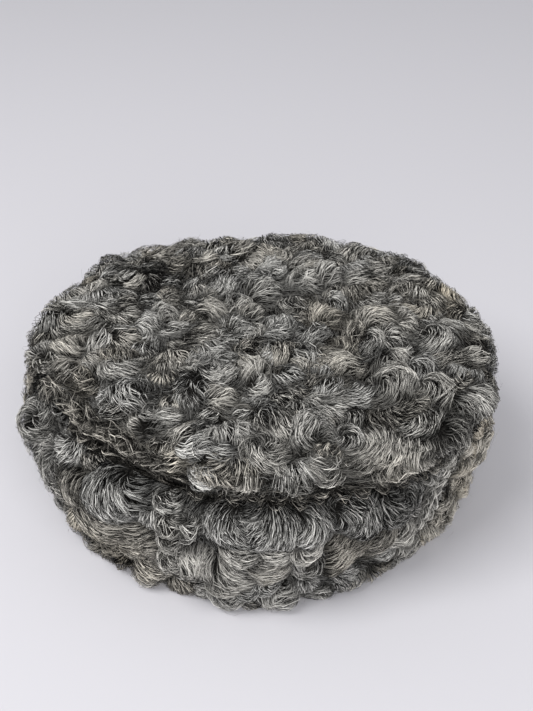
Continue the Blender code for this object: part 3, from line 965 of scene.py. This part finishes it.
def hair_path(n, along):
    """Where a hair's middle line goes as it turns round its lock's eye, and its heading there."""
    flow = n.named_vector("flow")
    sideways = n.vector("CROSS_PRODUCT", n.named_vector("outward"), flow)
    bend = n.plus(n.times(n.named("bend"), n.named("wisp_bend")), CURL_BIAS)
    gone = n.times(along, n.named("hair_length"))
    angle = n.times(bend, gone)
    cosine, sine = n.math("COSINE", angle), n.math("SINE", angle)
    ahead = n.over(sine, bend)
    aside = n.over(n.minus(1.0, cosine), bend)
    aside = n.times_plus(n.named("hair_slant"), gone, aside)
    wave = n.math("SINE", n.times_plus(along, WAVE_TURN, n.named("wave")))
    aside = n.times_plus(n.times(wave, along), WAVE_WIDTH, aside)
    path = n.vector("ADD", n.named_vector("root"), n.scaled(flow, ahead))
    path = n.vector("ADD", path, n.scaled(sideways, aside))
    pull = n.times(n.math("POWER", along, WISP_PULL_POWER), WISP_PULL)
    path = n.vector("ADD", path, n.scaled(n.named_vector("to_guide"), pull))
    return path, n.vector("ADD", n.scaled(flow, cosine), n.scaled(sideways, sine))


def skin_below(n, skin, path):
    """The skin's nearest place to a point of the path, and its normal there."""
    near = n.add("GeometryNodeProximity", {0: skin, "Sample Position": path})
    face_normal = n.add("GeometryNodeInputNormal").outputs[0]
    sample = {"Mesh": skin, "Sample Position": path, "Value": face_normal}
    surface = n.add("GeometryNodeSampleNearestSurface", sample, data_type="FLOAT_VECTOR")
    return near.outputs["Position"], n.vector("NORMALIZE", n.on(surface.outputs, "Value"))


def lock_loft(n, path):
    """The rounded form of the hair's lock at a point of the path, as lobe() has it."""
    size, breadth = n.named("lock_size"), n.named("breadth")
    from_middle = n.vector("SUBTRACT", path, n.named_vector("lock_middle"))
    to_lip = n.dot(from_middle, n.named_vector("lock_lip"))
    deep = n.times(to_lip, breadth)
    broad = n.over(n.dot(from_middle, n.named_vector("lock_side")), breadth)
    distance = n.plus(n.times(deep, deep), n.times(broad, broad))
    share = n.over(n.math("SQRT", distance), n.times(size, LOBE_REACH))
    tilt = n.times_plus(n.over(to_lip, size), LOBE_TILT, 1.0)
    cap = n.math("SQRT", n.math("MAXIMUM", n.minus(1.0, n.times(share, share)), 0.0))
    return n.times(cap, tilt)


def hair_climb(n, along):
    """The share of its height that a hair has: it climbs from its root, and its tip comes down."""
    climb = n.minus(1.0, n.math("MINIMUM", n.over(along, CLIMB_SHARE), 1.0))
    climb = n.minus(1.0, n.times(climb, climb))
    return n.minus(climb, n.times(n.math("POWER", along, TIP_DROP_POWER), TIP_DROP))


def hair_lift(n, along, loft, climb):
    """How high a hair is over the skin: on its lock's form, in its own layer and weaving."""
    layer = n.times_plus(n.named("hair_layer"), LAYER_SPREAD, LEAST_LAYER)
    weave = n.math("SINE", n.times_plus(along, WEAVE_TURN, n.named("weave")))
    layer = n.times_plus(weave, WEAVE_HEIGHT, layer)
    lift = n.times(n.plus(n.times(n.named("rise"), loft), layer), climb)
    return n.plus(lift, n.times(n.named("stray"), n.times(along, STRAY_LIFT)))


def from_centre(n, along, normal, heading, width):
    """The step out to the strip's side, which leans a little, each hair its own way, and tapers."""
    edge = n.vector("NORMALIZE", n.vector("CROSS_PRODUCT", normal, heading))
    roll = n.named("hair_roll")
    edge = n.vector("ADD", n.scaled(edge, n.math("COSINE", roll)), n.scaled(normal, n.math("SINE", roll)))
    taper = n.minus(1.0, n.times(n.math("POWER", along, 2.0), TIP_TAPER))
    taper = n.times(taper, n.named("hair_girth"))
    taper = n.times(taper, n.times_plus(n.named("stray"), -STRAY_THINNING, 1.0))
    return n.scaled(edge, n.times(n.named("side"), n.times(n.times(width, 0.5), taper)))


def map_place(n, along, columns):
    """The place on the map, where each hair has its own cell with a margin."""
    strand = n.named("strand")
    map_x = n.plus(n.math("MODULO", strand, columns), n.times_plus(n.named("side"), 0.4, 0.5))
    map_y = n.plus(n.math("FLOOR", n.over(strand, columns)), n.times_plus(along, 0.9, 0.05))
    cell = {"X": n.over(map_x, columns), "Y": n.over(map_y, columns)}
    return n.add("ShaderNodeCombineXYZ", cell).outputs[0]


def grow_fur(skin, name, hairs, seed, tree):
    """Grows hairs on a skin, as one plain mesh."""
    modifier = skin.modifiers.new("fur", "NODES")
    modifier.node_group = tree
    values = {
        "Hairs Per Area": hairs / sum(polygon.area for polygon in skin.data.polygons),
        "Hair Width": HAIR_WIDTH,
        "Wisp Spacing": WISP_SPACING,
        "Map Columns": float(math.ceil(math.sqrt(hairs * MAP_ROOM))),
        "Seed": seed,
    }
    for item in tree.interface.items_tree:
        if item.name in values and item.in_out == "INPUT":
            modifier[item.identifier] = values[item.name]
    graph = bpy.context.evaluated_depsgraph_get()
    mesh = bpy.data.meshes.new_from_object(skin.evaluated_get(graph))
    skin.modifiers.remove(modifier)
    mesh.name = name
    return add_object(name, mesh)


# Materials


def new_material(name, roughness, specular):
    """A material, a helper for its nodes and its shader's inputs."""
    material = bpy.data.materials.new(name)
    material.use_nodes = True
    surface = material.node_tree.nodes["Principled BSDF"].inputs
    surface["Roughness"].default_value = roughness
    surface["Specular IOR Level"].default_value = specular
    return material, Nodes(material.node_tree), surface


def noise(n, place, scale, detail):
    return n.add("ShaderNodeTexNoise", {"Vector": place, "Scale": scale, "Detail": detail}).outputs["Fac"]


def bump(n, height, strength, distance):
    values = {"Height": height, "Strength": strength, "Distance": distance}
    return n.add("ShaderNodeBump", values).outputs["Normal"]


def ramp(n, factor, stops):
    """A colour from a ramp whose stops are places and colours."""
    node = n.add("ShaderNodeValToRGB", {"Fac": factor})
    elements = node.color_ramp.elements
    while len(elements) < len(stops):
        elements.new(0.5)
    for element, (place, colour) in zip(elements, stops):
        element.position = place
        element.color = (*colour, 1.0)
    return node.outputs["Color"]


def multiplied(n, colour, other, factor):
    values = {"Factor": factor, "A": colour, "B": other}
    node = n.add("ShaderNodeMix", values, data_type="RGBA", blend_type="MULTIPLY")
    return n.on(node.outputs, "Result")


def hair_material(name):
    material, n, surface = new_material(name, 0.45, 0.06)

    def attribute(label):
        return n.add("ShaderNodeAttribute", attribute_name=label).outputs["Fac"]

    # Dark, grey and white hairs mix, more of the white where the lock is pale
    # Streaking: the hairs' colours across a strip, and along it changes of tone and painted glints
    spot = {
        "X": n.times(attribute("side"), STREAKS_ACROSS),
        "Y": n.times(attribute("strand"), STREAK_STRIDE),
        "Z": n.times(attribute("along"), STREAKS_AND_GLINTS_ALONG),
    }
    streaks_and_glints = noise(n, n.add("ShaderNodeCombineXYZ", spot).outputs[0], 1.0, 0.0)
    mix = n.plus(attribute("tone"), n.times(attribute("hair_chance"), HAIR_MIX))
    mix = n.times_plus(attribute("wisp_chance"), WISP_MIX, mix)
    mix = n.plus(mix, n.times_plus(streaks_and_glints, STREAK_AND_GLINT_MIX, -STREAK_AND_GLINT_MIDDLE))
    greys = ramp(n, mix, [(place, [grey * share for share in HAIR_CAST]) for place, grey in HAIR_GREYS])
    colour = multiplied(n, greys, WARM_TINT, attribute("warmth"))

    # Darker towards the root, and painted shade on hairs low in their lock's form, lighter towards its lip
    along = n.math("POWER", attribute("along"), ROOT_LIGHT_POWER)
    light = n.times_plus(along, 1.0 - ROOT_LIGHT, ROOT_LIGHT)
    light = n.times(light, n.times_plus(attribute("loft"), PAINTED_LIGHT_LOFT, PAINTED_LIGHT_LOW))
    shade = n.add("ShaderNodeCombineColor", {"Red": light, "Green": light, "Blue": light})
    n.feed(surface["Base Color"], multiplied(n, colour, shade.outputs["Color"], 1.0))
    return material


def undercoat_material(name):
    material, n, surface = new_material(name, 0.9, 0.05)
    tangle = noise(n, n.add("ShaderNodeTexCoord").outputs["Object"], 900.0, 4.0)
    stops = ((0.35, (0.002, 0.002, 0.002)), (0.75, (0.03, 0.028, 0.025)))
    n.feed(surface["Base Color"], ramp(n, tangle, stops))
    n.feed(surface["Normal"], bump(n, tangle, 0.6, 0.0006))
    return material


def hide_material(name):
    material, n, surface = new_material(name, 0.95, 0.5)
    place = n.add("ShaderNodeTexCoord").outputs["Object"]
    nap = noise(n, place, 700.0, 5.0)
    stains = noise(n, place, 28.0, 3.0)
    mix = n.times_plus(nap, 0.35, n.times(stains, 0.65))
    stops = ((0.3, (0.33, 0.27, 0.2)), (0.7, (0.56, 0.49, 0.39)))
    n.feed(surface["Base Color"], ramp(n, mix, stops))
    n.feed(surface["Normal"], bump(n, nap, 0.4, 0.0004))
    return material


def plain_material(name, colour, roughness):
    material, _, surface = new_material(name, roughness, 0.1)
    surface["Base Color"].default_value = (*colour, 1.0)
    return material


# Stage


def set_stage():
    reach = 20.0
    corners = [(-reach, -reach, 0.0), (reach, -reach, 0.0), (reach, reach, 0.0), (-reach, reach, 0.0)]
    floor = new_mesh("floor", corners, [(0, 1, 2, 3)])
    floor.data.materials.append(plain_material("pale floor", (0.62, 0.61, 0.64), 0.7))
    world = bpy.data.worlds.new("studio air")
    world.use_nodes = True
    background = world.node_tree.nodes["Background"]
    background.inputs["Color"].default_value = (0.96, 0.97, 1.0, 1.0)
    background.inputs["Strength"].default_value = 0.46
    bpy.context.scene.world = world
    add_light("window light", (-0.8, -0.6, 1.4), size=0.9, power=20.5)
    add_light("fill light", (0.8, -3.4, 2.2), size=2.8, power=104.0)


def add_light(name, place, size, power):
    light = bpy.data.lights.new(name, "AREA")
    light.size = size
    light.energy = power
    obj = add_object(name, light)
    obj.location = place
    obj.rotation_euler = (-Vector(place)).to_track_quat("-Z", "Y").to_euler()


def set_camera():
    camera = bpy.data.cameras.new("camera")
    camera.lens = VIEW_FOCAL / PHOTO_HEIGHT * camera.sensor_width
    camera.clip_start = 0.01
    obj = add_object("camera", camera)
    down = math.radians(VIEW_ELEVATION)
    back = Vector((0.0, -math.cos(down), math.sin(down))) * VIEW_DISTANCE
    obj.location = Vector((0.0, 0.0, VIEW_TARGET_HEIGHT)) + back
    pitch = down - math.atan((TARGET_PIXEL[1] - PHOTO_HEIGHT / 2) / VIEW_FOCAL)
    yaw = math.atan((TARGET_PIXEL[0] - PHOTO_WIDTH / 2) / VIEW_FOCAL)
    obj.rotation_euler = (math.pi / 2 - pitch, 0.0, yaw)
    bpy.context.scene.camera = obj


def main():
    for obj in list(bpy.data.objects):
        bpy.data.objects.remove(obj)
    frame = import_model()
    hat = Hat(frame["nodes"])
    crown = Pelt(hat, CrownChart(), CROWN_LOCKS, CROWN_RUNS, CROWN_PATCHES, HAIR_SEED)
    band = Pelt(hat, BandChart(), BAND_LOCKS, BAND_RUNS, BAND_PATCHES, HAIR_SEED + 1)

    tree = fur_tree("Karakul fur", hair_material("grey karakul hair"))
    coats = (undercoat_material("dark undercoat"), hide_material("tanned hide"))
    pelts = (
        ("crown_pelt", crown, CROWN_HAIRS, "grey_karakul_fur"),
        ("band_front", band, FRONT_HAIRS, "grey_karakul_fur"),
        ("band_back", band, BACK_HAIRS, "pale_karakul_fur"),
    )
    for node, pelt, hairs, slot in pelts:
        chosen = pelt.columns_of(node)
        skin = pelt.surface(f"{node}_skin", chosen)
        pieces = math.ceil(hairs / MOST_HAIRS_A_PIECE)
        for number in range(pieces):
            fur = grow_fur(skin, f"{node}_hair_{number + 1}", hairs / pieces, HAIR_SEED + number, tree)
            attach(fur, "root")
        bpy.data.objects.remove(skin)
        shell = pelt.shell(f"{node}_hide", chosen, coats)
        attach(shell, "root")
        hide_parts(node)

    set_stage()
    set_camera()
    bpy.context.scene.view_settings.view_transform = "Standard"


main()
